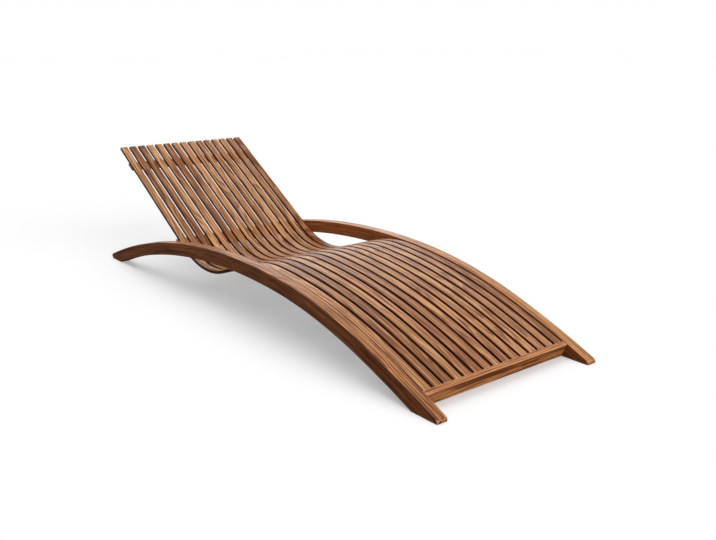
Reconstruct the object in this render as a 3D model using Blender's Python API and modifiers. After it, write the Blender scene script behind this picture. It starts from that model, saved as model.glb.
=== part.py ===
"""Sun lounger: two arched side rails carry a deck of long slats that are each bent in one piece.

X runs across, Y from the foot end to the head end, Z is up. The floor is Z = 0, and the origin
is on the floor under the middle. All sizes are in metres. The side view is drawn on two lines,
the top line of a rail and the line that the slats follow. Every board is a strip along one of
them, between two stations and two depths below it.
"""

import math

import bpy
import bmesh
from mathutils import Matrix, Vector

# The side rails.
OVERALL_WIDTH = 0.700
RAIL_THICKNESS = 0.040
RAIL_DEPTH = 0.052
CREST_HEIGHT = 0.243
FOOT_REACH = 1.029  # level distance from the crest to the foot tip
FOOT_TIP_HEIGHT = 0.0117
TOE_FACE = 0.004  # upright part of the foot end, from the floor to its rounding
HEAD_REACH = 1.162  # level distance from the crest to the head tip
HEAD_TIP_HEIGHT = 0.0184
CREST_RADIUS = 3.124
SHOULDER_START = 0.185  # along the rail, from the crest towards the foot
SHOULDER_RADIUS = 2.034
SHOULDER_LENGTH = 0.543

# The slats and the line that they follow.
SLAT_WIDTH = 0.0305
SLAT_THICKNESS = 0.012
LEAST_SLAT_GAP = 0.0105
DECK_RECESS = 0.004  # how far the slats lie below the top of the rails
KNEE_START = 0.167  # along the rail, from the crest towards the foot
KNEE_RADIUS = 0.492
FALL_ANGLE = math.radians(18.9)
FALL_LENGTH = 0.188
SEAT_RADIUS = 0.359
BACK_ANGLE = math.radians(31.0)
BACK_LENGTH = 0.666

# The boards across the lounger.
END_RAIL_LIFT = 0.0013  # from the floor to its lower front edge
END_RAIL_THICKNESS = 0.020
END_RAIL_DEPTH = 0.049
END_RAIL_RECESS = 0.001
LEDGER_WIDTH = 0.022
LEDGER_DEPTH = 0.022
SEAT_BARS = 3
SEAT_BAR_WIDTH = 0.045
SEAT_BAR_DEPTH = 0.030
BACK_BAR_RISE = 0.032  # along the slats, from the top line of the rails to the bar's upper edge
BACK_BAR_WIDTH = 0.050
BACK_BAR_DEPTH = 0.030
HEAD_BATTEN_DROP = 0.098  # along the slats, from their head ends to its upper edge
HEAD_BATTEN_WIDTH = 0.043
HEAD_BATTEN_DEPTH = 0.012

# The dowels and screws.
DOWEL_DIAMETER = 0.010
DOWEL_SPACING = 0.024
DOWEL_DEPTH_IN_BAR = 0.030
RAIL_WALL_BEHIND_DOWEL = 0.012
DOWEL_CHAMFER = 0.001
SCREW_SPACING = 0.140
SCREW_END_DISTANCE = 0.030
SCREW_SHANK_DIAMETER = 0.0045
SCREW_HEAD_DIAMETER = 0.009
SCREW_HEAD_HEIGHT = 0.003
SCREW_POINT = 0.003
SCREW_DEPTH_IN_END_RAIL = 0.014

# Clearances, rounded edges and the fineness of the curves.
FIT_GAP = 0.0003  # between pieces that touch
RAIL_ARRIS = 0.0025
BOARD_ARRIS = 0.0015
FACET_TURN = math.radians(2.5)
SEAT_FACET_TURN = math.radians(4.0)
TOE_FACET_TURN = math.radians(15.0)
ROUND_SIDES = 12
STATION_TOLERANCE = 1e-6
SHARP_ANGLE = math.radians(40)

# Base colours, with the tones that the slats take in turn.
RAIL_COLOUR = (0.195, 0.080, 0.034)
BOARD_COLOUR = (0.165, 0.062, 0.027)
SLAT_TONES = ((0.36, 0.19, 0.12), (0.31, 0.15, 0.07), (0.27, 0.15, 0.08), (0.34, 0.17, 0.09))
DOWEL_COLOUR = (0.55, 0.40, 0.24)
STEEL_COLOUR = (0.60, 0.60, 0.62)

INNER_HALF_WIDTH = OVERALL_WIDTH / 2 - RAIL_THICKNESS
CREST_Y = (FOOT_REACH - HEAD_REACH) / 2
SLAT_COUNT = int(2 * INNER_HALF_WIDTH / (SLAT_WIDTH + LEAST_SLAT_GAP))
SLAT_PITCH = 2 * INNER_HALF_WIDTH / SLAT_COUNT
DECK_UNDERSIDE = DECK_RECESS + SLAT_THICKNESS


class Line:
    """A line in the side view: points, the heading at each, and the distance along it."""

    def __init__(self, y, z, heading, station=0.0):
        self.points = [Vector((y, z))]
        self.headings = [heading]
        self.stations = [station]

    def run(self, length, curvature=0.0, facet=FACET_TURN):
        """Go on for a length, straight or on an arc. The curvature is above 0 where it bends to the left."""
        steps = max(1, math.ceil(abs(length * curvature) / facet))
        step = length / steps
        bend = step * curvature
        chord = 2 * math.sin(bend / 2) / curvature if curvature else step
        for _ in range(steps):
            middle = self.headings[-1] + bend / 2
            self.points.append(self.points[-1] + chord * Vector((math.cos(middle), math.sin(middle))))
            self.headings.append(self.headings[-1] + bend)
            self.stations.append(self.stations[-1] + step)
        return self

    def arc_to(self, y, z):
        """Go on along the one arc that ends at this point."""
        way = Vector((y, z)) - self.points[-1]
        turn = 2 * math.remainder(math.atan2(way.y, way.x) - self.headings[-1], math.tau)
        curvature = 2 * math.sin(turn / 2) / way.length
        return self.run(turn / curvature if turn else way.length, curvature)

    def at(self, station):
        """The point and heading at a station, on the facets as they are drawn."""
        last = len(self.stations) - 2
        i = min(max(0, sum(s <= station for s in self.stations) - 1), last)
        share = (station - self.stations[i]) / (self.stations[i + 1] - self.stations[i])
        point = self.points[i].lerp(self.points[i + 1], share)
        return point, self.headings[i] + share * (self.headings[i + 1] - self.headings[i])

    def below(self, station, depth):
        """The point at a depth square to the line."""
        point, heading = self.at(station)
        return point + depth * Vector((math.sin(heading), -math.cos(heading)))

    def station_at_y(self, y):
        """The station where the line passes a level position."""
        for i, (a, b) in enumerate(zip(self.points, self.points[1:])):
            if a.x <= y <= b.x or i == len(self.points) - 2:
                share = (y - a.x) / (b.x - a.x)
                return self.stations[i] + share * (self.stations[i + 1] - self.stations[i])

    def strip(self, start, end, top, bottom):
        """The outline of a board along the line, from station to station and depth to depth.

        A corner of the line that would lie within the board's rounded ends is left out.
        """
        rounded = 2 * BOARD_ARRIS
        inside = [s for s in self.stations if start + rounded < s < end - rounded]
        along = [start] + inside + [end]
        return [self.below(s, top) for s in along] + [self.below(s, bottom) for s in reversed(along)]


def joined(back, ahead):
    """One line out of two that start at the same point and run opposite ways."""
    line = Line(0, 0, 0)
    line.points = back.points[:0:-1] + ahead.points
    line.headings = [h - math.pi for h in back.headings[:0:-1]] + ahead.headings
    line.stations = [-s for s in back.stations[:0:-1]] + ahead.stations
    return line


def rail_line():
    """The top line of a rail, from the foot tip to the head tip, with station 0 at the crest."""
    to_foot = Line(CREST_Y, CREST_HEIGHT, math.pi)
    to_foot.run(SHOULDER_START, 1 / CREST_RADIUS)
    to_foot.run(SHOULDER_LENGTH, 1 / SHOULDER_RADIUS)
    to_foot.arc_to(CREST_Y - FOOT_REACH, FOOT_TIP_HEIGHT)
    to_head = Line(CREST_Y, CREST_HEIGHT, 0.0)
    to_head.arc_to(CREST_Y + HEAD_REACH, HEAD_TIP_HEIGHT)
    return joined(to_foot, to_head)


def deck_line(rail):
    """The line that the slats follow: the rail's own as far as the knee, then down, round and up the back."""
    point, heading = rail.at(-KNEE_START)
    line = Line(point.x, point.y, heading, -KNEE_START)
    before = [i for i, s in enumerate(rail.stations) if s < -KNEE_START - FIT_GAP]
    line.points = [rail.points[i] for i in before] + line.points
    line.headings = [rail.headings[i] for i in before] + line.headings
    line.stations = [rail.stations[i] for i in before] + line.stations
    line.run((heading + FALL_ANGLE) * KNEE_RADIUS, -1 / KNEE_RADIUS)
    line.run(FALL_LENGTH)
    line.run((FALL_ANGLE + BACK_ANGLE) * SEAT_RADIUS, 1 / SEAT_RADIUS, SEAT_FACET_TURN)
    return line.run(BACK_LENGTH)


def first_station(low, high, reached):
    """The first station between two at which something is reached, by halving."""
    while high - low > STATION_TOLERANCE:
        middle = (low + high) / 2
        if reached(middle):
            high = middle
        else:
            low = middle
    return high


def end_rail_front(deck):
    """The station of the end rail's front, where its lower front edge is just clear of the floor."""
    edge_depth = END_RAIL_RECESS + END_RAIL_DEPTH
    return first_station(
        deck.stations[0], 0.0, lambda station: deck.below(station, edge_depth).y >= END_RAIL_LIFT
    )


def back_bar_top(rail, deck):
    """The station of the back bar's upper edge, just above where the slats come up past the rails."""

    def above_rails(station):
        point = deck.at(station)[0]
        return point.y > rail.at(rail.station_at_y(point.x))[0].y

    seat_bottom = deck.stations[-1] - BACK_LENGTH - BACK_ANGLE * SEAT_RADIUS
    return first_station(seat_bottom, deck.stations[-1], above_rails) + BACK_BAR_RISE


def clear_scene():
    for obj in list(bpy.data.objects):
        bpy.data.objects.remove(obj)


def new_collection(name):
    collection = bpy.data.collections.new(name)
    bpy.context.scene.collection.children.link(collection)
    return collection


def new_material(name, colour, roughness, metallic=0.0):
    material = bpy.data.materials.new(name)
    material.use_nodes = True
    shader = material.node_tree.nodes["Principled BSDF"]
    shader.inputs["Base Color"].default_value = (*colour, 1.0)
    shader.inputs["Roughness"].default_value = roughness
    shader.inputs["Metallic"].default_value = metallic
    material.diffuse_color = (*colour, 1.0)
    return material


def add_object(name, mesh, collection, parent=None, material=None):
    obj = bpy.data.objects.new(name, mesh)
    collection.objects.link(obj)
    obj.parent = parent
    if material:
        mesh.materials.append(material)
    return obj


def board(name, outline, low_x, high_x, collection, parent=None, material=None):
    """A board cut from an outline in the side view, between two positions across."""
    curve = bpy.data.curves.new(name, "CURVE")
    curve.dimensions = "2D"
    curve.fill_mode = "BOTH"
    curve.extrude = (high_x - low_x) / 2
    spline = curve.splines.new("POLY")
    spline.points.add(len(outline) - 1)
    for point, corner in zip(spline.points, outline):
        point.co = (corner.x, corner.y, 0.0, 1.0)
    spline.use_cyclic_u = True
    drawn = bpy.data.objects.new(name, curve)
    collection.objects.link(drawn)
    mesh = bpy.data.meshes.new_from_object(drawn.evaluated_get(bpy.context.evaluated_depsgraph_get()))
    mesh.name = name
    bpy.data.objects.remove(drawn)
    bpy.data.curves.remove(curve)
    flat = bmesh.new()
    flat.from_mesh(mesh)
    bmesh.ops.remove_doubles(flat, verts=flat.verts, dist=1e-6)
    bmesh.ops.recalc_face_normals(flat, faces=flat.faces)
    bmesh.ops.dissolve_limit(
        flat, angle_limit=math.radians(0.5), use_dissolve_boundaries=False, verts=flat.verts, edges=flat.edges
    )
    flat.to_mesh(mesh)
    flat.free()
    obj = add_object(name, mesh, collection, parent, material)
    # The outline's own x and y become the world's Y and Z.
    obj.rotation_euler = (math.radians(90), 0.0, math.radians(90))
    obj.location = ((low_x + high_x) / 2, 0.0, 0.0)
    return obj


def round_arrises(obj, width, segments=1):
    bevel = obj.modifiers.new("arrises", "BEVEL")
    bevel.width = width
    bevel.segments = segments
    bevel.limit_method = "ANGLE"
    bevel.angle_limit = SHARP_ANGLE
    bevel.use_clamp_overlap = False


def cut_by(obj, cutters):
    cut = obj.modifiers.new(f"cut_by_{cutters.name}", "BOOLEAN")
    if isinstance(cutters, bpy.types.Collection):
        cut.operand_type = "COLLECTION"
        cut.collection = cutters
    else:
        cut.object = cutters


def shade(obj):
    obj.data.shade_smooth()
    obj.data.set_sharp_from_angle(angle=SHARP_ANGLE)


def as_cutter(obj):
    obj.hide_render = True
    obj.display_type = "WIRE"
    return obj


def turned(name, profile, collection, parent=None, material=None):
    """A shape turned about its own Z, from a profile of radius and height."""
    mesh = bpy.data.meshes.new(name)
    lathe = bmesh.new()
    corners = [lathe.verts.new((radius, 0.0, height)) for radius, height in profile]
    edges = [lathe.edges.new(pair) for pair in zip(corners, corners[1:])]
    bmesh.ops.spin(
        lathe,
        geom=corners + edges,
        cent=(0.0, 0.0, 0.0),
        axis=(0.0, 0.0, 1.0),
        angle=math.tau,
        steps=ROUND_SIDES,
    )
    bmesh.ops.remove_doubles(lathe, verts=lathe.verts, dist=1e-6)
    bmesh.ops.recalc_face_normals(lathe, faces=lathe.faces)
    lathe.to_mesh(mesh)
    lathe.free()
    return add_object(name, mesh, collection, parent, material)


def rail_outline(line):
    """The side view of a rail before it is sawn level, with its foot end upright and rounded on top."""
    outline = line.strip(line.stations[0], line.stations[-1], 0.0, RAIL_DEPTH)
    tip = outline[0]
    along = (outline[1] - tip).normalized()
    heading = math.atan2(along.y, along.x)
    reach = FOOT_TIP_HEIGHT - TOE_FACE
    radius = reach * math.tan((math.pi / 2 + heading) / 2)
    centre = tip + reach * along + radius * Vector((along.y, -along.x))
    turn = math.pi / 2 - heading
    steps = math.ceil(turn / TOE_FACET_TURN)
    angles = [math.pi - turn * step / steps for step in range(steps + 1)]
    rounding = [centre + radius * Vector((math.cos(a), math.sin(a))) for a in angles]
    return rounding + outline[1:-1] + [tip - Vector((0.0, RAIL_DEPTH))]


def add_rails(line, parts, cutters, bores, parent):
    """The two bent rails, sawn level where they stand on the floor."""
    length = line.points[-1].x - line.points[0].x
    corners = [Vector(c) for c in ((-length, -length), (length, -length), (length, 0.0), (-length, 0.0))]
    floor = as_cutter(board("floor_cut", corners, -OVERALL_WIDTH, OVERALL_WIDTH, cutters))
    outline = rail_outline(line)
    for name, side in (("side_rail_left", -1), ("side_rail_right", 1)):
        faces = sorted((side * INNER_HALF_WIDTH, side * OVERALL_WIDTH / 2))
        wood = new_material(name, RAIL_COLOUR, 0.55)
        rail = board(name, outline, *faces, parts, parent, wood)
        shade(rail)
        cut_by(rail, floor)
        round_arrises(rail, RAIL_ARRIS, segments=2)
        cut_by(rail, bores)


def add_cross_board(name, outline, half_width, parts, parent, bores=None):
    wood = new_material(name, BOARD_COLOUR, 0.60)
    piece = board(name, outline, -half_width, half_width, parts, parent, wood)
    shade(piece)
    round_arrises(piece, BOARD_ARRIS)
    if bores:
        cut_by(piece, bores)
    return piece


def add_bar(name, line, back, width, depth, parts, bores, parent):
    """A bar under the slats, from its back edge towards the foot, with two dowels at each end."""
    front = back - width
    top = DECK_UNDERSIDE + FIT_GAP
    outline = line.strip(front, back, top, top + depth)
    add_cross_board(name, outline, INNER_HALF_WIDTH - FIT_GAP, parts, parent, bores)
    middle = (front + back) / 2
    spread = DOWEL_SPACING / 2
    centres = [line.below(middle + side * spread, top + depth / 2) for side in (-1, 1)]
    add_dowels(name, centres, parts, bores, parent)


def add_dowels(name, centres, parts, bores, parent):
    """A dowel at each of these side-view points, at both ends of a board, half in the rail."""
    inner_end = INNER_HALF_WIDTH - FIT_GAP - DOWEL_DEPTH_IN_BAR
    outer_end = INNER_HALF_WIDTH + RAIL_THICKNESS - RAIL_WALL_BEHIND_DOWEL
    half = (outer_end - inner_end) / 2
    radius = DOWEL_DIAMETER / 2
    profile = (
        (0.0, -half),
        (radius - DOWEL_CHAMFER, -half),
        (radius, DOWEL_CHAMFER - half),
        (radius, half - DOWEL_CHAMFER),
        (radius - DOWEL_CHAMFER, half),
        (0.0, half),
    )
    bore = radius + FIT_GAP
    bore_end = half + FIT_GAP
    bore_profile = ((0.0, -bore_end), (bore, -bore_end), (bore, bore_end), (0.0, bore_end))
    wood = new_material(f"{name}_dowels", DOWEL_COLOUR, 0.70)
    sideways = Matrix.Rotation(math.radians(90), 4, "Y")
    for side_name, side in (("left", -1), ("right", 1)):
        for number, centre in enumerate(centres, start=1):
            middle = Matrix.Translation((side * (inner_end + outer_end) / 2, centre.x, centre.y))
            label = f"{name}_dowel_{side_name}_{number}"
            dowel = turned(label, profile, parts, parent, wood)
            dowel.matrix_world = middle @ sideways
            shade(dowel)
            cutter = as_cutter(turned(f"{label}_bore", bore_profile, bores))
            cutter.matrix_world = middle @ sideways


def add_screws(line, start, depth, parts, bores, parent):
    """Screws through the ledger into the end rail, with their heads on the ledger's back."""
    shank = SCREW_SHANK_DIAMETER / 2
    head = SCREW_HEAD_DIAMETER / 2
    length = FIT_GAP + LEDGER_WIDTH + FIT_GAP + SCREW_DEPTH_IN_END_RAIL
    profile = (
        (0.0, -length),
        (shank, SCREW_POINT - length),
        (shank, 0.0),
        (head, 0.0),
        (head, SCREW_HEAD_HEIGHT),
        (0.0, SCREW_HEAD_HEIGHT),
    )
    bore = shank + FIT_GAP
    bore_end = -length - FIT_GAP
    bore_profile = ((0.0, bore_end), (bore, bore_end), (bore, head), (0.0, head))
    steel = new_material("ledger_screws", STEEL_COLOUR, 0.35, 1.0)
    heading = line.at(start)[1]
    centre = line.below(start, depth) + FIT_GAP * Vector((math.cos(heading), math.sin(heading)))
    reach = INNER_HALF_WIDTH - SCREW_END_DISTANCE
    spaces = max(1, round(2 * reach / SCREW_SPACING))
    # The screw's own Z points out of the ledger's back, along the deck.
    upright = Matrix.Rotation(heading - math.pi / 2, 4, "X")
    for number in range(spaces + 1):
        place = Matrix.Translation((-reach + 2 * reach * number / spaces, centre.x, centre.y))
        screw = turned(f"ledger_screw_{number + 1}", profile, parts, parent, steel)
        screw.matrix_world = place @ upright
        shade(screw)
        cutter = as_cutter(turned(f"ledger_screw_{number + 1}_bore", bore_profile, bores))
        cutter.matrix_world = place @ upright


def add_slats(line, start, parts, parent):
    outline = line.strip(start, line.stations[-1], DECK_RECESS, DECK_UNDERSIDE)
    for number in range(SLAT_COUNT):
        middle = (number + 0.5) * SLAT_PITCH - INNER_HALF_WIDTH
        name = f"slat_{number + 1:02d}"
        wood = new_material(name, SLAT_TONES[number % len(SLAT_TONES)], 0.55)
        edges = (middle - SLAT_WIDTH / 2, middle + SLAT_WIDTH / 2)
        slat = board(name, outline, *edges, parts, parent, wood)
        shade(slat)
        round_arrises(slat, BOARD_ARRIS)


def build():
    clear_scene()
    parts = new_collection("sun_lounger")
    cutters = new_collection("cutters")
    dowel_bores = new_collection("dowel_bores")
    screw_bores = new_collection("screw_bores")
    parent = bpy.data.objects.new("sun_lounger_frame", None)
    parts.objects.link(parent)

    rail = rail_line()
    deck = deck_line(rail)
    rail_gap_half_width = INNER_HALF_WIDTH - FIT_GAP
    under_slats = DECK_UNDERSIDE + FIT_GAP

    # The end rail, and the ledger behind it that carries the slats' foot ends.
    end_front = end_rail_front(deck)
    end_back = end_front + END_RAIL_THICKNESS
    end_outline = deck.strip(end_front, end_back, END_RAIL_RECESS, END_RAIL_RECESS + END_RAIL_DEPTH)
    end_rail = add_cross_board("end_rail", end_outline, rail_gap_half_width, parts, parent, dowel_bores)
    cut_by(end_rail, screw_bores)
    end_middle = (end_front + end_back) / 2
    end_depth = END_RAIL_RECESS + END_RAIL_DEPTH / 2
    end_dowels = [deck.below(end_middle, end_depth + side * DOWEL_SPACING / 2) for side in (-1, 1)]
    add_dowels("end_rail", end_dowels, parts, dowel_bores, parent)
    ledger_front = end_back + FIT_GAP
    ledger_back = ledger_front + LEDGER_WIDTH
    ledger_outline = deck.strip(ledger_front, ledger_back, under_slats, under_slats + LEDGER_DEPTH)
    add_cross_board("foot_ledger", ledger_outline, rail_gap_half_width, parts, parent, screw_bores)
    add_screws(deck, ledger_back, under_slats + LEDGER_DEPTH / 2, parts, screw_bores, parent)

    # The bars under the seat, spaced evenly from the end rail to the knee.
    for number in range(1, SEAT_BARS + 1):
        back = end_back + (-KNEE_START - end_back) * number / SEAT_BARS
        name = f"seat_bar_{number}"
        add_bar(name, deck, back, SEAT_BAR_WIDTH, SEAT_BAR_DEPTH, parts, dowel_bores, parent)

    # The bar behind the back's lower end, which ties the slats to the rails there.
    back = back_bar_top(rail, deck)
    add_bar("back_bar", deck, back, BACK_BAR_WIDTH, BACK_BAR_DEPTH, parts, dowel_bores, parent)

    # The batten behind the slats' head ends, as wide as the row of slats.
    batten_top = deck.stations[-1] - HEAD_BATTEN_DROP
    outline = deck.strip(
        batten_top - HEAD_BATTEN_WIDTH, batten_top, under_slats, under_slats + HEAD_BATTEN_DEPTH
    )
    slats_half_width = INNER_HALF_WIDTH - (SLAT_PITCH - SLAT_WIDTH) / 2
    add_cross_board("head_batten", outline, slats_half_width, parts, parent)

    add_slats(deck, end_back + FIT_GAP, parts, parent)
    add_rails(rail, parts, cutters, dowel_bores, parent)


build()
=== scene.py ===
"""The looks of the sun lounger: bent boards with their grain, screws below, light and camera."""

import math

import bmesh
import bpy
from mathutils import Matrix, Vector


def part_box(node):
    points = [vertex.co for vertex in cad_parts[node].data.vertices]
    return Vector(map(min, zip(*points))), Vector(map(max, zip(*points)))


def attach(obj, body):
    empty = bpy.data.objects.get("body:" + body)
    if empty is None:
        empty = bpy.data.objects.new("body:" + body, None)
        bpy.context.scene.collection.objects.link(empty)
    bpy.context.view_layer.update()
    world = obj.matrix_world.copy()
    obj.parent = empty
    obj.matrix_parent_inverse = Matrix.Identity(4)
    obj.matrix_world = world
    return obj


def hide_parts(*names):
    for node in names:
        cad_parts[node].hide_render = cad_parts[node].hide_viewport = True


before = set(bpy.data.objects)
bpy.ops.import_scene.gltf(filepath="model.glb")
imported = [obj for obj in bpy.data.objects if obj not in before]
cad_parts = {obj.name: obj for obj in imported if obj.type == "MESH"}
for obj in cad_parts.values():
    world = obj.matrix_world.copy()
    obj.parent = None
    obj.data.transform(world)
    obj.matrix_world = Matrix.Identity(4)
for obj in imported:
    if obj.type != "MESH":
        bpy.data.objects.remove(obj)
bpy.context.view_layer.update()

# The photograph's camera, solved from the lounger's own edges: place in metres, angles in degrees.
CAMERA_PLACE = (-1.7578, -2.5205, 1.0101)
CAMERA_TURN = 38.57
CAMERA_TILT = 16.12
CAMERA_LENS = 41.1
SENSOR_WIDTH = 36.0

# The side rails, with the sizes of the solids, in metres.
OVERALL_WIDTH = 0.700
RAIL_THICKNESS = 0.040
RAIL_DEPTH = 0.052
CREST_HEIGHT = 0.243
FOOT_REACH = 1.029
FOOT_TIP_HEIGHT = 0.0117
TOE_FACE = 0.004
HEAD_REACH = 1.162
HEAD_TIP_HEIGHT = 0.0184
CREST_RADIUS = 3.124
SHOULDER_START = 0.185
SHOULDER_RADIUS = 2.034
SHOULDER_LENGTH = 0.543

# The slats and the line that they follow.
SLAT_WIDTH = 0.0305
SLAT_THICKNESS = 0.012
SLAT_COUNT = 15
DECK_RECESS = 0.004
KNEE_START = 0.167
KNEE_RADIUS = 0.492
FALL_ANGLE = math.radians(18.9)
FALL_LENGTH = 0.188
SEAT_RADIUS = 0.359
BACK_ANGLE = math.radians(31.0)
BACK_LENGTH = 0.666

# The boards across the lounger.
END_RAIL_LIFT = 0.0013
END_RAIL_THICKNESS = 0.020
END_RAIL_DEPTH = 0.049
END_RAIL_RECESS = 0.001
LEDGER_WIDTH = 0.022
LEDGER_DEPTH = 0.022
SEAT_BARS = 3
SEAT_BAR_WIDTH = 0.045
SEAT_BAR_DEPTH = 0.030
BACK_BAR_RISE = 0.032
BACK_BAR_WIDTH = 0.050
BACK_BAR_DEPTH = 0.030
HEAD_BATTEN_DROP = 0.098
HEAD_BATTEN_WIDTH = 0.043
HEAD_BATTEN_DEPTH = 0.012
FIT_GAP = 0.0003

INNER_HALF_WIDTH = OVERALL_WIDTH / 2 - RAIL_THICKNESS
CREST_Y = (FOOT_REACH - HEAD_REACH) / 2
SLAT_PITCH = 2 * INNER_HALF_WIDTH / SLAT_COUNT
UNDER_SLATS = DECK_RECESS + SLAT_THICKNESS + FIT_GAP

# Rounded edges, the fineness of the boards, and how near each comes to its solid.
RAIL_ARRIS = 0.0022
BOARD_ARRIS = 0.0018
SLAT_ARRIS = 0.0012
ARRIS_STEPS = 3
TOE_STEPS = 7
FACET_TURN = math.radians(1.0)
LONGEST_STEP = 0.030
SHARP_ANGLE = math.radians(35)
SOLID_TOLERANCE = 0.0015
STATION_TOLERANCE = 1e-6
TIP_TOLERANCE = 1e-4

# The boards end this much before their solids at the head, so that their corners stay inside the box.
RAIL_TRIM = 0.0005
SLAT_TRIM = 0.0011

# A vertex gets rubbed wear and a painted highlight if no large face next to it lies within the
# angle of its normal. A large face has more than this many times the area of the arris squared.
FLAT_ANGLE = math.radians(16)
LARGE_FACE = 4

# The screws that hold the slats, seen only from below and behind. The profile runs from the rim
# up the dome and down into the socket: radius, height, and depth of the socket's lobes.
SCREW_HEAD_RADIUS = 0.0040
SCREW_HEAD_HEIGHT = 0.0016
SCREW_SIDES = 24
SCREW_LOBES = 6
SCREW_PROFILE = (
    (1.00, 0.00, 0.00),
    (0.97, 0.35, 0.00),
    (0.82, 0.72, 0.00),
    (0.62, 0.92, 0.00),
    (0.44, 1.00, 0.06),
    (0.40, 0.30, 0.06),
)

# How light each board is, from 0 for dark to 1 for light, and how red. The slats come in order
# from the near side, and the seat bars from the foot end, each lighter than the last.
SLAT_TONES = (
    (0.81, 0.15), (0.37, 0.20), (0.13, 0.30), (0.75, 0.15), (0.68, 0.35),
    (0.21, 0.55), (0.51, 0.50), (0.96, 0.35), (0.58, 0.30), (0.64, 0.35),
    (0.77, 0.25), (0.80, 0.30), (0.79, 0.30), (0.48, 0.40), (0.16, 0.50),
)
LEFT_RAIL_TONE = (0.55, 0.25)
RIGHT_RAIL_TONE = (0.95, 0.20)
END_RAIL_TONE = (0.55, 0.50)
LEDGER_TONE = (0.40, 0.30)
BACK_BAR_TONE = (0.35, 0.40)
HEAD_BATTEN_TONE = (0.30, 0.40)
SEAT_BAR_TONE = (0.35, 0.30)
SEAT_BAR_LIGHTER = 0.1
SOLID_WOOD_TONE = (0.5, 0.2)

# Where the boards lay in their trees: each board has a seed of its own, and from it come its
# distance to the side of the heart, its place along the trunk, and its depth over the heart.
FIRST_RAIL_SEED = 1
FIRST_SLAT_SEED = 11
FIRST_CROSS_SEED = 40
DEPTH_SEED_SHIFT = 50
HEART_SPREAD = 0.09
TRUNK_STEP = 3.7
LEAST_DEPTH = 0.025
DEPTH_SPREAD = 0.05
SCATTER_STEP, SCATTER_START, SCATTER_GAIN = 12.9898, 4.1414, 43758.5453

# The wood's noises, in waves to a metre: across the grain, along it, and in depth.
WANDER_WAVES = (9.0, 1.3, 9.0)
WAVER_WAVES = (40.0, 4.0, 40.0)
BROAD_WAVES = (70.0, 1.8, 70.0)
STREAK_WAVES = (240.0, 3.6, 240.0)
FIBRE_WAVES = (420.0, 7.0, 420.0)
PORE_WAVES = (1500.0, 42.0, 1500.0)

# The growth rings: how far the heart wanders and a ring wavers, in metres, how many rings there
# are to a metre, and over which parts of a ring the dark comes and goes.
WANDER_REACH = 0.075
WAVER_REACH = 0.006
RINGS_IN_A_METRE = 190.0
LATE_PART = (0.45, 0.95)
EARLY_PART = (0.0, 0.12)
MEAN_FIGURE = 0.35

# The parts of the noises that make streaks, pores, and rubbed places with their painted highlight.
DARK_STREAK_PART = (0.53, 0.68)
GOLD_STREAK_PART = (0.47, 0.32)
PORE_PART = (0.60, 0.72)
RUBBED_AND_HIGHLIT_PART = (0.35, 0.65)
RUBBED_AND_HIGHLIT_LEVELS = (0.30, 0.85)

# What each adds to the wood's lightness, and where on its scale the three colours stand.
FIBRE_CONTRAST = 1.70
BROAD_CONTRAST = 0.55
FIGURE_CONTRAST = 0.46
TONE_CONTRAST = 0.62
DARK_STREAK_GAIN = -0.62
GOLD_STREAK_GAIN = 0.52
PORE_GAIN = -0.32
DARK_AT, MIDDLE_AT, LIGHT_AT = 0.05, 0.50, 0.95
RED_PATCHES = 0.5

# The wood's gloss and relief.
WOOD_ROUGHNESS = 0.36
WOOD_SPECULAR = 0.5
ROUGHNESS_OF_FIBRE = 0.30
ROUGHNESS_OF_PORES = 0.15
RELIEF_OF_FIGURE = -0.25
RELIEF_OF_PORES = -0.6
WOOD_BUMP = {"Strength": 0.35, "Distance": 0.0004}

# Painted shade on the sides of a board, where the gaps between slats and the light from above
# leave them dark: half its width, how far in from the sides the painted shade reaches, and its
# colour. The painted shade is full in this last share of its reach.
SLAT_SIDE_SHADE = (SLAT_WIDTH / 2, 0.0012, (0.24, 0.11, 0.06))
RAIL_SIDE_SHADE = (RAIL_THICKNESS / 2, 0.0008, (0.72, 0.54, 0.46))
FULL_SIDE_SHADE = 0.15

# The screws' steel.
MARK_WAVES = (900.0, 900.0, 2500.0)
DULL_WAVES = (180.0, 180.0, 180.0)
BRIGHT_STEEL = (0.56, 0.55, 0.53)
DULL_STEEL = (0.38, 0.36, 0.34)
DULL_PART = (0.45, 0.70)
MARK_PART = (0.3, 0.7)
STEEL_ROUGHNESS = (0.28, 0.46)
STEEL_BUMP = {"Strength": 0.2, "Distance": 0.0001}

# Soft lamps: name, strength, width of the lamp seen from the lounger, angle from upright, and the
# side that it stands on, as a turn from the foot end. All angles are in degrees.
LAMPS = (
    ("left", 0.29, 75.0, 10.0, -90.0),
    ("behind", 0.56, 70.0, 35.0, 180.0),
    ("front", 0.98, 55.0, 76.0, 0.0),
)

# The sky's level, and its levels in reflections. There it brightens with height from the horizon
# to the low sky, and darkens again to the high sky. The heights run from 0 to 1 overhead.
SKY_LEVEL = 0.02
HORIZON_IN_REFLECTIONS = 0.30
LOW_SKY_IN_REFLECTIONS = 2.00
HIGH_SKY_IN_REFLECTIONS = 0.38
BRIGHTENING_HEIGHTS = (0.04, 0.20)
DARKENING_HEIGHTS = (0.24, 0.65)

# The floor: how much of its white is glow, and how much light it gives back to the wood.
FLOOR_HALF = 30.0
FLOOR_GLOW = 0.32
FLOOR_BOUNCE = 0.08
WHITE = (1.0, 1.0, 1.0)


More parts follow.
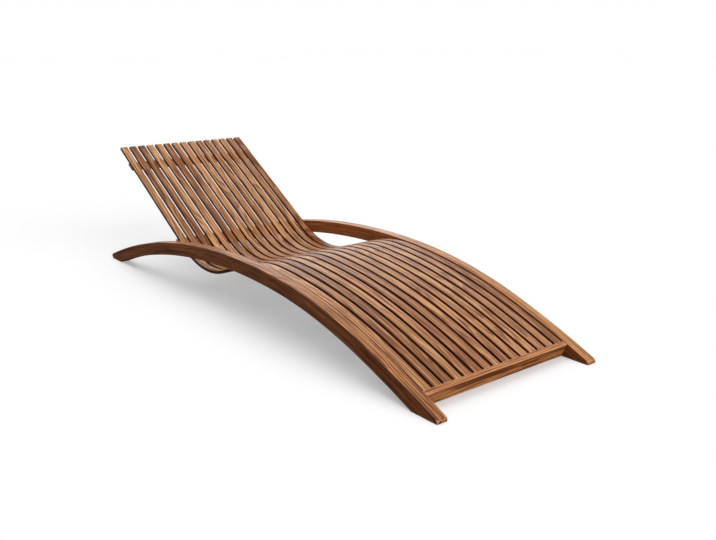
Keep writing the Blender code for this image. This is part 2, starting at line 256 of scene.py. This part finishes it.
class Line:
    """A line in the side view: points, the heading at each, and the distance along it."""

    def __init__(self, y, z, heading, station=0.0):
        self.points = [Vector((y, z))]
        self.headings = [heading]
        self.stations = [station]

    def run(self, length, curvature=0.0):
        """Go on for a length, straight or on an arc. The curvature is above 0 where it bends left."""
        turn_steps = math.ceil(abs(length * curvature) / FACET_TURN)
        steps = max(1, turn_steps, math.ceil(length / LONGEST_STEP))
        step = length / steps
        bend = step * curvature
        chord = 2 * math.sin(bend / 2) / curvature if curvature else step
        for _ in range(steps):
            middle = self.headings[-1] + bend / 2
            self.points.append(self.points[-1] + chord * Vector((math.cos(middle), math.sin(middle))))
            self.headings.append(self.headings[-1] + bend)
            self.stations.append(self.stations[-1] + step)
        return self

    def arc_to(self, y, z):
        """Go on along the one arc that ends at this point."""
        way = Vector((y, z)) - self.points[-1]
        turn = 2 * math.remainder(math.atan2(way.y, way.x) - self.headings[-1], math.tau)
        curvature = 2 * math.sin(turn / 2) / way.length
        return self.run(turn / curvature, curvature)

    def at(self, station):
        """The point and heading at a station."""
        last = len(self.stations) - 2
        i = min(max(0, sum(s <= station for s in self.stations) - 1), last)
        share = (station - self.stations[i]) / (self.stations[i + 1] - self.stations[i])
        point = self.points[i].lerp(self.points[i + 1], share)
        return point, self.headings[i] + share * (self.headings[i + 1] - self.headings[i])

    def below(self, station, depth):
        """The point at a depth square to the line."""
        point, heading = self.at(station)
        return point + depth * Vector((math.sin(heading), -math.cos(heading)))

    def station_at_y(self, y):
        """The station where the line passes a level position."""
        for i, (a, b) in enumerate(zip(self.points, self.points[1:])):
            if a.x <= y <= b.x or i == len(self.points) - 2:
                share = (y - a.x) / (b.x - a.x)
                return self.stations[i] + share * (self.stations[i + 1] - self.stations[i])

    def place_of(self, point):
        """The station of a point near the line, and its depth. Only the two ends of the line run on."""
        best = None
        for i, (a, b) in enumerate(zip(self.points, self.points[1:])):
            along = b - a
            share = (point - a).dot(along) / along.length_squared
            if i > 0:
                share = max(share, 0.0)
            if i < len(self.points) - 2:
                share = min(share, 1.0)
            gap = (point - a - share * along).length
            if best is None or gap < best[0]:
                side = along.x * (point - a).y - along.y * (point - a).x
                station = self.stations[i] + share * (self.stations[i + 1] - self.stations[i])
                best = (gap, station, -math.copysign(gap, side))
        return best[1], best[2]


def joined(back, ahead):
    """One line out of two that start at the same point and run opposite ways."""
    line = Line(0, 0, 0)
    line.points = back.points[:0:-1] + ahead.points
    line.headings = [h - math.pi for h in back.headings[:0:-1]] + ahead.headings
    line.stations = [-s for s in back.stations[:0:-1]] + ahead.stations
    return line


def rail_line():
    """The top line of a rail, from the foot tip to the head tip, with station 0 at the crest."""
    to_foot = Line(CREST_Y, CREST_HEIGHT, math.pi)
    to_foot.run(SHOULDER_START, 1 / CREST_RADIUS)
    to_foot.run(SHOULDER_LENGTH, 1 / SHOULDER_RADIUS)
    to_foot.arc_to(CREST_Y - FOOT_REACH, FOOT_TIP_HEIGHT)
    to_head = Line(CREST_Y, CREST_HEIGHT, 0.0)
    to_head.arc_to(CREST_Y + HEAD_REACH, HEAD_TIP_HEIGHT)
    return joined(to_foot, to_head)


def deck_line(rail):
    """The line that the slats follow: the rail's own to the knee, then down, round and up the back."""
    point, heading = rail.at(-KNEE_START)
    line = Line(point.x, point.y, heading, -KNEE_START)
    before = [i for i, s in enumerate(rail.stations) if s < -KNEE_START - FIT_GAP]
    line.points = [rail.points[i] for i in before] + line.points
    line.headings = [rail.headings[i] for i in before] + line.headings
    line.stations = [rail.stations[i] for i in before] + line.stations
    line.run((heading + FALL_ANGLE) * KNEE_RADIUS, -1 / KNEE_RADIUS)
    line.run(FALL_LENGTH)
    line.run((FALL_ANGLE + BACK_ANGLE) * SEAT_RADIUS, 1 / SEAT_RADIUS)
    return line.run(BACK_LENGTH)


def first_station(low, high, reached):
    """The first station between two at which something is reached, by halving."""
    while high - low > STATION_TOLERANCE:
        middle = (low + high) / 2
        if reached(middle):
            high = middle
        else:
            low = middle
    return high


def end_rail_front(deck):
    """The station of the end rail's front, where its lower front edge is just clear of the floor."""
    depth = END_RAIL_RECESS + END_RAIL_DEPTH
    return first_station(deck.stations[0], 0.0, lambda s: deck.below(s, depth).y >= END_RAIL_LIFT)


def back_bar_top(rail, deck):
    """The station of the back bar's upper edge, just above where the slats come up past the rails."""

    def above_rails(station):
        point = deck.at(station)[0]
        return point.y > rail.at(rail.station_at_y(point.x))[0].y

    seat_bottom = deck.stations[-1] - BACK_LENGTH - BACK_ANGLE * SEAT_RADIUS
    return first_station(seat_bottom, deck.stations[-1], above_rails) + BACK_BAR_RISE


def scattered(seed):
    """A number from 0 to 1 that looks random, the same each time for the same seed."""
    return math.modf(math.sin(SCATTER_STEP * seed + SCATTER_START) * SCATTER_GAIN)[0] % 1.0


def swept(line, start, end, top, bottom, low_x, high_x, upright_start=False):
    """A plain board along the line, between two stations, two depths and two positions across."""
    made = bmesh.new()
    rounded = 2 * RAIL_ARRIS
    inside = [s for s in line.stations if start + rounded < s < end - rounded]
    rings = []
    for station in [start] + inside + [end]:
        upper = line.below(station, top)
        lower = line.below(station, bottom)
        if upright_start and station == start:
            lower = upper - Vector((0.0, bottom - top))
        corners = ((low_x, upper), (high_x, upper), (high_x, lower), (low_x, lower))
        rings.append([made.verts.new((x, p.x, p.y)) for x, p in corners])
    skin(made, rings)
    bmesh.ops.recalc_face_normals(made, faces=made.faces)
    return made


def skin(made, rings):
    """Faces between rings of vertices, and one over each end."""
    for near, far in zip(rings, rings[1:]):
        for i in range(len(near)):
            j = (i + 1) % len(near)
            made.faces.new((near[i], near[j], far[j], far[i]))
    made.faces.new(rings[0][::-1])
    made.faces.new(rings[-1])


def saw_level(made):
    """Cut a board off at the floor."""
    geometry = made.verts[:] + made.edges[:] + made.faces[:]
    cut = bmesh.ops.bisect_plane(
        made, geom=geometry, plane_co=(0, 0, 0), plane_no=(0, 0, 1), clear_inner=True
    )
    edges = [e for e in cut["geom_cut"] if isinstance(e, bmesh.types.BMEdge)]
    bmesh.ops.holes_fill(made, edges=edges)
    bmesh.ops.recalc_face_normals(made, faces=made.faces)


def sharp_edges(made):
    return [e for e in made.edges if e.is_manifold and e.calc_face_angle() > SHARP_ANGLE]


def bevel(made, edges, width, steps):
    """Round these edges."""
    bmesh.ops.bevel(
        made,
        geom=edges,
        offset=width,
        offset_type="OFFSET",
        segments=steps,
        profile=0.5,
        affect="EDGES",
        clamp_overlap=False,
    )


def finished(name, node, made, line, middle_x, arris, seed, tone, material, across=False):
    """Round a board's edges, lay its grain, and let it stand for its solid.

    Three facts go with each vertex: where it is in the board, along and across its grain;
    where the board lay in its tree; and how light and how red it is, and how much rubbed wear and
    painted highlight it has.
    """
    bevel(made, sharp_edges(made), arris, ARRIS_STEPS)
    made.normal_update()
    mesh = bpy.data.meshes.new(name)
    large = LARGE_FACE * arris * arris
    board = []
    rubbed_and_highlit = []
    normals = []
    for vert in made.verts:
        weighted = (f.normal * f.calc_area() for f in vert.link_faces)
        normals.append(sum(weighted, Vector()).normalized())
        station, depth = line.place_of(vert.co.yz)
        side = vert.co.x - middle_x
        board.append((station, side, depth) if across else (side, station, depth))
        angles = [f.normal.angle(vert.normal) for f in vert.link_faces if f.calc_area() > large]
        flat = any(angle < FLAT_ANGLE for angle in angles)
        # Rounded edges get rubbed wear and a painted highlight.
        rubbed_and_highlit.append(0.0 if flat else 1.0)
    made.to_mesh(mesh)
    made.free()
    from_heart = (scattered(seed) - 0.5) * HEART_SPREAD
    over_heart = LEAST_DEPTH + DEPTH_SPREAD * scattered(seed + DEPTH_SEED_SHIFT)
    tree = (from_heart, seed * TRUNK_STEP, over_heart)
    facts = (
        ("board", board),
        ("tree", [tree] * len(board)),
        ("tone", [(*tone, wear_and_highlight) for wear_and_highlight in rubbed_and_highlit]),
    )
    for label, values in facts:
        layer = mesh.attributes.new(label, "FLOAT_VECTOR", "POINT")
        layer.data.foreach_set("vector", [n for v in values for n in v])
    mesh.shade_smooth()
    mesh.normals_split_custom_set_from_vertices(normals)
    mesh.materials.append(material)
    piece = bpy.data.objects.new(name, mesh)
    bpy.context.scene.collection.objects.link(piece)
    check_against_solid(piece, node)
    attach(piece, "root")
    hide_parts(node)


def check_against_solid(piece, node):
    """Stop if a board isn't where its solid is."""
    low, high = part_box(node)
    for axis in range(3):
        places = [v.co[axis] for v in piece.data.vertices]
        gaps = (min(places) - low[axis], max(places) - high[axis])
        if max(abs(gap) for gap in gaps) > SOLID_TOLERANCE:
            raise ValueError(f"{piece.name} isn't where {node} is: {gaps} on axis {axis}")


class Nodes:
    """Short ways to add and join the nodes of one material or world."""

    def __init__(self, tree):
        self.tree = tree

    def add(self, kind, inputs=None, **settings):
        node = self.tree.nodes.new(kind)
        for label, value in settings.items():
            setattr(node, label, value)
        for label, value in (inputs or {}).items():
            self.feed(value, node.inputs[label])
        return node

    def feed(self, value, socket):
        """Link an output to a socket, or set a plain value on it. A plain colour has three numbers."""
        if isinstance(value, bpy.types.NodeSocket):
            self.tree.links.new(value, socket)
        elif socket.type == "RGBA":
            socket.default_value = (*value, 1.0)
        else:
            socket.default_value = value

    def math(self, operation, *values, clamp=False):
        inputs = dict(enumerate(values))
        return self.add("ShaderNodeMath", inputs, operation=operation, use_clamp=clamp).outputs[0]

    def vector(self, operation, *values):
        return self.add("ShaderNodeVectorMath", dict(enumerate(values)), operation=operation).outputs[0]

    def parts(self, vector):
        return self.add("ShaderNodeSeparateXYZ", {0: vector}).outputs

    def noise(self, place, waves, detail=3.0, roughness=0.55):
        """Noise from 0 to 1 about 0.5, with its own fineness across, along and in depth."""
        inputs = {
            "Vector": self.vector("MULTIPLY", place, waves),
            "Scale": 1.0,
            "Detail": detail,
            "Roughness": roughness,
            "Distortion": 0.0,
        }
        return self.add("ShaderNodeTexNoise", inputs).outputs["Fac"]

    def range(self, value, low, high, to_low=0.0, to_high=1.0):
        inputs = {
            "Value": value,
            "From Min": low,
            "From Max": high,
            "To Min": to_low,
            "To Max": to_high,
        }
        return self.add("ShaderNodeMapRange", inputs, clamp=True).outputs["Result"]

    def mix(self, factor, first, second, blend="MIX"):
        """Mix two colours."""
        node = self.add("ShaderNodeMix", data_type="RGBA", blend_type=blend, clamp_factor=True)
        for i, value in ((0, factor), (6, first), (7, second)):
            self.feed(value, node.inputs[i])
        return node.outputs[2]


def new_material(name):
    material = bpy.data.materials.new(name)
    material.use_nodes = True
    return material, Nodes(material.node_tree), material.node_tree.nodes["Principled BSDF"]


def growth_rings(nodes, place):
    """The dark and light of the rings, by the distance from the heart of the tree.

    The heart wanders slowly along the board, and the rings waver a little.
    """
    parts = nodes.parts(place)
    wander = nodes.noise(place, WANDER_WAVES, detail=2.0)
    waver = nodes.noise(place, WAVER_WAVES, detail=2.0)
    leaning = nodes.math("MULTIPLY_ADD", wander, WANDER_REACH, parts[2])
    heart = nodes.add("ShaderNodeCombineXYZ", {0: parts[0], 1: leaning}).outputs[0]
    length = nodes.add("ShaderNodeVectorMath", {0: heart}, operation="LENGTH").outputs["Value"]
    wavering = nodes.math("MULTIPLY_ADD", waver, WAVER_REACH, length)
    rings = nodes.math("FRACT", nodes.math("MULTIPLY", wavering, RINGS_IN_A_METRE))
    late = nodes.range(rings, *LATE_PART)
    early = nodes.range(rings, *EARLY_PART, 1.0, 0.0)
    return nodes.math("MAXIMUM", late, early)


def wood(
    name, dark, middle, light, red, rubbed_and_highlit, grain,
    roughness=WOOD_ROUGHNESS, on_boards=True, side_shade=None,
):
    """Oiled hardwood: growth rings cut by the board's face, fibres, pores, and arrises lightened by
    rubbed wear and a painted highlight.

    On the boards made here the grain follows each bend. On a solid that stays it runs along X.
    Where the sides' shade is given, shade is painted on the faces on both sides of the board.
    """
    material, nodes, shader = new_material(name)
    if on_boards:
        board, tree, tone = (
            nodes.add("ShaderNodeAttribute", attribute_name=label).outputs["Vector"]
            for label in ("board", "tree", "tone")
        )
        lightness, redness, wear_and_highlight = nodes.parts(tone)
        place = nodes.vector("ADD", board, tree)
    else:
        turned = nodes.parts(nodes.add("ShaderNodeTexCoord").outputs["Object"])
        swapped = {0: turned[1], 1: turned[0], 2: turned[2]}
        place = nodes.add("ShaderNodeCombineXYZ", swapped).outputs[0]
        lightness, redness = SOLID_WOOD_TONE
        wear_and_highlight = 0.0

    figure = growth_rings(nodes, place)
    broad = nodes.noise(place, BROAD_WAVES, detail=2.0)
    fibre = nodes.noise(place, FIBRE_WAVES)
    streak = nodes.noise(place, STREAK_WAVES, roughness=0.6)
    dark_streak = nodes.range(streak, *DARK_STREAK_PART)
    gold_streak = nodes.range(streak, *GOLD_STREAK_PART)
    pores = nodes.range(nodes.noise(place, PORE_WAVES, detail=1.0), *PORE_PART)

    # From dark at 0 to light at 1.
    gains = (
        (nodes.math("SUBTRACT", fibre, 0.5), FIBRE_CONTRAST * grain),
        (nodes.math("SUBTRACT", broad, 0.5), BROAD_CONTRAST * grain),
        (nodes.math("SUBTRACT", MEAN_FIGURE, figure), FIGURE_CONTRAST * grain),
        (nodes.math("SUBTRACT", lightness, 0.5), TONE_CONTRAST),
        (dark_streak, DARK_STREAK_GAIN * grain),
        (gold_streak, GOLD_STREAK_GAIN * grain),
    )
    value = 0.5
    for part, gain in gains:
        value = nodes.math("MULTIPLY_ADD", part, gain, value)
    value = nodes.math("MULTIPLY_ADD", pores, PORE_GAIN * grain, value, clamp=True)
    ramp = nodes.add("ShaderNodeValToRGB", {0: value})
    stops = ramp.color_ramp.elements
    stops[0].position, stops[0].color = DARK_AT, (*dark, 1.0)
    stops[1].position, stops[1].color = LIGHT_AT, (*light, 1.0)
    stops.new(MIDDLE_AT).color = (*middle, 1.0)
    colour = ramp.outputs["Color"]

    reddened = nodes.mix(1.0, colour, red, blend="MULTIPLY")
    evened = nodes.math("SUBTRACT", redness, RED_PATCHES / 2)
    red_share = nodes.math("MULTIPLY_ADD", broad, RED_PATCHES, evened, clamp=True)
    colour = nodes.mix(red_share, colour, reddened)
    # Painted highlight and rubbed wear: the rounded edges are lightened towards one colour.
    wear_and_highlight_share = nodes.math("MULTIPLY", wear_and_highlight, nodes.range(fibre, *RUBBED_AND_HIGHLIT_PART, *RUBBED_AND_HIGHLIT_LEVELS))
    colour = nodes.mix(wear_and_highlight_share, colour, rubbed_and_highlit)
    # Painted shade: the faces on both sides of the board are darkened where the gaps and the light from
    # above shade them.
    if side_shade:
        half_width, reach, shade_colour = side_shade
        from_middle = nodes.math("ABSOLUTE", nodes.parts(board)[0])
        share = nodes.range(from_middle, half_width - reach, half_width - FULL_SIDE_SHADE * reach)
        painted_shade = nodes.mix(1.0, colour, shade_colour, blend="MULTIPLY")
        colour = nodes.mix(share, colour, painted_shade)
    nodes.feed(colour, shader.inputs["Base Color"])

    shine = nodes.math("SUBTRACT", 0.5, fibre)
    shine = nodes.math("MULTIPLY_ADD", shine, ROUGHNESS_OF_FIBRE, roughness)
    shine = nodes.math("MULTIPLY_ADD", pores, ROUGHNESS_OF_PORES, shine)
    nodes.feed(shine, shader.inputs["Roughness"])
    shader.inputs["Specular IOR Level"].default_value = WOOD_SPECULAR

    relief = nodes.math("MULTIPLY_ADD", figure, RELIEF_OF_FIGURE, fibre)
    relief = nodes.math("MULTIPLY_ADD", pores, RELIEF_OF_PORES, relief)
    bump = nodes.add("ShaderNodeBump", {"Height": relief, **WOOD_BUMP})
    nodes.feed(bump.outputs["Normal"], shader.inputs["Normal"])
    return material


def steel(name):
    """Screw steel with fine turning marks and a few dull spots."""
    material, nodes, shader = new_material(name)
    place = nodes.add("ShaderNodeTexCoord").outputs["Object"]
    marks = nodes.noise(place, MARK_WAVES, detail=2.0)
    dull = nodes.noise(place, DULL_WAVES)
    colour = nodes.mix(nodes.range(dull, *DULL_PART), BRIGHT_STEEL, DULL_STEEL)
    nodes.feed(colour, shader.inputs["Base Color"])
    shader.inputs["Metallic"].default_value = 1.0
    nodes.feed(nodes.range(marks, *MARK_PART, *STEEL_ROUGHNESS), shader.inputs["Roughness"])
    bump = nodes.add("ShaderNodeBump", {"Height": marks, **STEEL_BUMP})
    nodes.feed(bump.outputs["Normal"], shader.inputs["Normal"])
    return material


def screw_heads(name, line, station, depth, material):
    """A row of domed screw heads with a lobed socket, one under each slat, on the face at this depth."""
    made = bmesh.new()
    heading = line.at(station)[1]
    centre = line.below(station, depth)
    out = Vector((0.0, math.sin(heading), -math.cos(heading)))
    across = Vector((1.0, 0.0, 0.0))
    along = Vector((0.0, math.cos(heading), math.sin(heading)))
    for number in range(SLAT_COUNT):
        middle = Vector(((number + 0.5) * SLAT_PITCH - INNER_HALF_WIDTH, centre.x, centre.y))
        rings = []
        for radius, height, lobe in SCREW_PROFILE:
            ring = []
            for side in range(SCREW_SIDES):
                angle = math.tau * side / SCREW_SIDES
                reach = SCREW_HEAD_RADIUS * (radius + lobe * math.cos(SCREW_LOBES * angle))
                offset = reach * (math.cos(angle) * across + math.sin(angle) * along)
                ring.append(made.verts.new(middle + offset + height * SCREW_HEAD_HEIGHT * out))
            rings.append(ring)
        skin(made, rings)
    bmesh.ops.recalc_face_normals(made, faces=made.faces)
    mesh = bpy.data.meshes.new(name)
    made.to_mesh(mesh)
    made.free()
    mesh.shade_smooth()
    mesh.set_sharp_from_angle(angle=SHARP_ANGLE)
    mesh.materials.append(material)
    heads = bpy.data.objects.new(name, mesh)
    bpy.context.scene.collection.objects.link(heads)
    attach(heads, "root")


def add_rails(line, material):
    rails = (("left", -1, LEFT_RAIL_TONE), ("right", 1, RIGHT_RAIL_TONE))
    for seed, (name, side, tone) in enumerate(rails, start=FIRST_RAIL_SEED):
        faces = sorted((side * INNER_HALF_WIDTH, side * OVERALL_WIDTH / 2))
        end = line.stations[-1] - RAIL_TRIM
        made = swept(line, line.stations[0], end, 0.0, RAIL_DEPTH, *faces, upright_start=True)
        saw_level(made)
        tips = [
            e for e in sharp_edges(made)
            if all((v.co.yz - line.points[0]).length < TIP_TOLERANCE for v in e.verts)
        ]
        bevel(made, tips, FOOT_TIP_HEIGHT - TOE_FACE, TOE_STEPS)
        finished(
            f"side_rail_{name}_board", f"side_rail_{name}", made, line, sum(faces) / 2,
            RAIL_ARRIS, seed, tone, material,
        )


def add_slats(line, start, material):
    for number, tone in enumerate(SLAT_TONES):
        middle = (number + 0.5) * SLAT_PITCH - INNER_HALF_WIDTH
        edges = (middle - SLAT_WIDTH / 2, middle + SLAT_WIDTH / 2)
        end = line.stations[-1] - SLAT_TRIM
        made = swept(line, start, end, DECK_RECESS, DECK_RECESS + SLAT_THICKNESS, *edges)
        node = f"slat_{number + 1:02d}"
        finished(
            f"{node}_board", node, made, line, middle,
            SLAT_ARRIS, FIRST_SLAT_SEED + number, tone, material,
        )


def add_cross_boards(rail, deck, material, screw_material):
    """The boards across the lounger, and the rows of screws through them into the slats.

    Each has its node, front and rear stations, depth of its upper face, its own depth, half its
    length, and its tone. The end rail is the one without screws, as the slats butt against it.
    """
    reach = INNER_HALF_WIDTH - FIT_GAP
    slats_reach = INNER_HALF_WIDTH - (SLAT_PITCH - SLAT_WIDTH) / 2
    end_front = end_rail_front(deck)
    end_back = end_front + END_RAIL_THICKNESS
    ledger = end_back + FIT_GAP
    back = back_bar_top(rail, deck)
    top = deck.stations[-1] - HEAD_BATTEN_DROP
    under = UNDER_SLATS
    boards = [
        ("end_rail", end_front, end_back, END_RAIL_RECESS, END_RAIL_DEPTH, reach, END_RAIL_TONE),
        ("foot_ledger", ledger, ledger + LEDGER_WIDTH, under, LEDGER_DEPTH, reach, LEDGER_TONE),
        ("back_bar", back - BACK_BAR_WIDTH, back, under, BACK_BAR_DEPTH, reach, BACK_BAR_TONE),
        (
            "head_batten", top - HEAD_BATTEN_WIDTH, top,
            under, HEAD_BATTEN_DEPTH, slats_reach, HEAD_BATTEN_TONE,
        ),
    ]
    for number in range(1, SEAT_BARS + 1):
        rear = end_back + (-KNEE_START - end_back) * number / SEAT_BARS
        tone = (SEAT_BAR_TONE[0] + SEAT_BAR_LIGHTER * number, SEAT_BAR_TONE[1])
        span = (rear - SEAT_BAR_WIDTH, rear)
        boards.append((f"seat_bar_{number}", *span, under, SEAT_BAR_DEPTH, reach, tone))
    for seed, (node, front, rear, upper, depth, half, tone) in enumerate(boards, start=FIRST_CROSS_SEED):
        made = swept(deck, front, rear, upper, upper + depth, -half, half)
        finished(
            f"{node}_board", node, made, deck, 0.0,
            BOARD_ARRIS, seed, tone, material, across=True,
        )
        if node != "end_rail":
            screw_heads(f"{node}_screws", deck, (front + rear) / 2, upper + depth, screw_material)
    return end_back


def dress_solids(dowel_material, screw_material):
    """Materials for the solids that stay as they are."""
    for name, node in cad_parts.items():
        if node.hide_render:
            continue
        is_dowel = "_dowel_" in name
        node.data.materials.clear()
        node.data.materials.append(dowel_material if is_dowel else screw_material)


def add_floor():
    """A floor that is white to the camera and through glass, and keeps the lounger's shadow.

    It gives little light back to the wood. In gloss it stays dark, because a white floor there
    turns the sides of the boards grey.
    """
    mesh = bpy.data.meshes.new("floor")
    corners = [(x * FLOOR_HALF, y * FLOOR_HALF, 0) for x, y in ((-1, -1), (1, -1), (1, 1), (-1, 1))]
    mesh.from_pydata(corners, [], [(0, 1, 2, 3)])
    floor = bpy.data.objects.new("floor", mesh)
    bpy.context.scene.collection.objects.link(floor)
    material, nodes, shader = new_material("floor_white")
    path = nodes.add("ShaderNodeLightPath").outputs
    seen = nodes.math("MAXIMUM", path["Is Camera Ray"], path["Is Transmission Ray"])
    colour = nodes.mix(seen, (FLOOR_BOUNCE, FLOOR_BOUNCE, FLOOR_BOUNCE), WHITE)
    nodes.feed(colour, shader.inputs["Base Color"])
    shader.inputs["Roughness"].default_value = 1.0
    shader.inputs["Specular IOR Level"].default_value = 0.0
    glow = nodes.add("ShaderNodeEmission", {"Color": WHITE, "Strength": 1.0}).outputs[0]
    share = nodes.math("MULTIPLY", seen, FLOOR_GLOW)
    mixed = nodes.add("ShaderNodeMixShader", {0: share, 1: shader.outputs[0], 2: glow}).outputs[0]
    output = next(n for n in nodes.tree.nodes if n.type == "OUTPUT_MATERIAL")
    nodes.feed(mixed, output.inputs["Surface"])
    mesh.materials.append(material)


def add_light():
    """Soft lamps above, in front and behind, a faint sky, and a white backdrop.

    In reflections the sky is bright near the horizon, as a ring of soft boxes would be.
    """
    world = bpy.data.worlds.new("studio")
    bpy.context.scene.world = world
    world.use_nodes = True
    nodes = Nodes(world.node_tree)
    output = next(n for n in world.node_tree.nodes if n.type == "OUTPUT_WORLD")
    for node in [n for n in world.node_tree.nodes if n != output]:
        world.node_tree.nodes.remove(node)
    path = nodes.add("ShaderNodeLightPath").outputs
    height = nodes.parts(nodes.add("ShaderNodeTexCoord").outputs["Generated"])[2]
    brightening = (*BRIGHTENING_HEIGHTS, HORIZON_IN_REFLECTIONS, LOW_SKY_IN_REFLECTIONS)
    darkening = (*DARKENING_HEIGHTS, LOW_SKY_IN_REFLECTIONS, HIGH_SKY_IN_REFLECTIONS)
    glossy = nodes.math("MINIMUM", nodes.range(height, *brightening), nodes.range(height, *darkening))
    glossy = nodes.math("SUBTRACT", glossy, SKY_LEVEL)
    level = nodes.math("MULTIPLY_ADD", path["Is Glossy Ray"], glossy, SKY_LEVEL)
    level = nodes.math("MAXIMUM", level, path["Is Camera Ray"])
    level = nodes.math("MAXIMUM", level, path["Is Transmission Ray"])
    sky = nodes.add("ShaderNodeBackground", {"Color": WHITE, "Strength": level}).outputs[0]
    nodes.feed(sky, output.inputs["Surface"])
    for name, strength, spread, tilt, toward in LAMPS:
        lamp = bpy.data.lights.new(name, "SUN")
        lamp.energy = math.pi * strength
        lamp.angle = math.radians(spread)
        holder = bpy.data.objects.new(name, lamp)
        lean = Matrix.Rotation(math.radians(tilt), 3, "X")
        holder.rotation_euler = (Matrix.Rotation(math.radians(toward), 3, "Z") @ lean).to_euler()
        holder.visible_glossy = False
        bpy.context.scene.collection.objects.link(holder)


def add_camera():
    camera = bpy.data.cameras.new("camera")
    camera.lens = CAMERA_LENS
    camera.sensor_width = SENSOR_WIDTH
    eye = bpy.data.objects.new("camera", camera)
    eye.location = CAMERA_PLACE
    eye.rotation_euler = (math.radians(90 - CAMERA_TILT), 0.0, -math.radians(CAMERA_TURN))
    bpy.context.scene.collection.objects.link(eye)
    bpy.context.scene.camera = eye
    bpy.context.scene.view_settings.view_transform = "Standard"


rail_wood = wood(
    "rail_wood",
    dark=(0.115, 0.032, 0.007),
    middle=(0.305, 0.110, 0.027),
    light=(0.580, 0.280, 0.095),
    red=(1.0, 0.72, 0.60),
    rubbed_and_highlit=(0.74, 0.46, 0.25),
    grain=1.85,
    side_shade=RAIL_SIDE_SHADE,
)
slat_wood = wood(
    "slat_wood",
    dark=(0.125, 0.036, 0.007),
    middle=(0.322, 0.126, 0.038),
    light=(0.600, 0.320, 0.135),
    red=(1.0, 0.80, 0.78),
    rubbed_and_highlit=(0.58, 0.34, 0.18),
    grain=1.25,
    side_shade=SLAT_SIDE_SHADE,
)
cross_wood = wood(
    "cross_wood",
    dark=(0.160, 0.048, 0.012),
    middle=(0.400, 0.152, 0.046),
    light=(0.660, 0.335, 0.130),
    red=(1.0, 0.72, 0.62),
    rubbed_and_highlit=(0.74, 0.46, 0.25),
    grain=1.75,
)
dowel_wood = wood(
    "dowel_wood",
    dark=(0.34, 0.21, 0.10),
    middle=(0.52, 0.36, 0.20),
    light=(0.68, 0.52, 0.33),
    red=(1.0, 0.85, 0.75),
    rubbed_and_highlit=(0.7, 0.6, 0.4),
    roughness=0.6,
    grain=0.6,
    on_boards=False,
)
screw_steel = steel("screw_steel")

rail = rail_line()
deck = deck_line(rail)
add_rails(rail, rail_wood)
slats_start = add_cross_boards(rail, deck, cross_wood, screw_steel) + FIT_GAP
add_slats(deck, slats_start, slat_wood)
dress_solids(dowel_wood, screw_steel)
add_floor()
add_light()
add_camera()
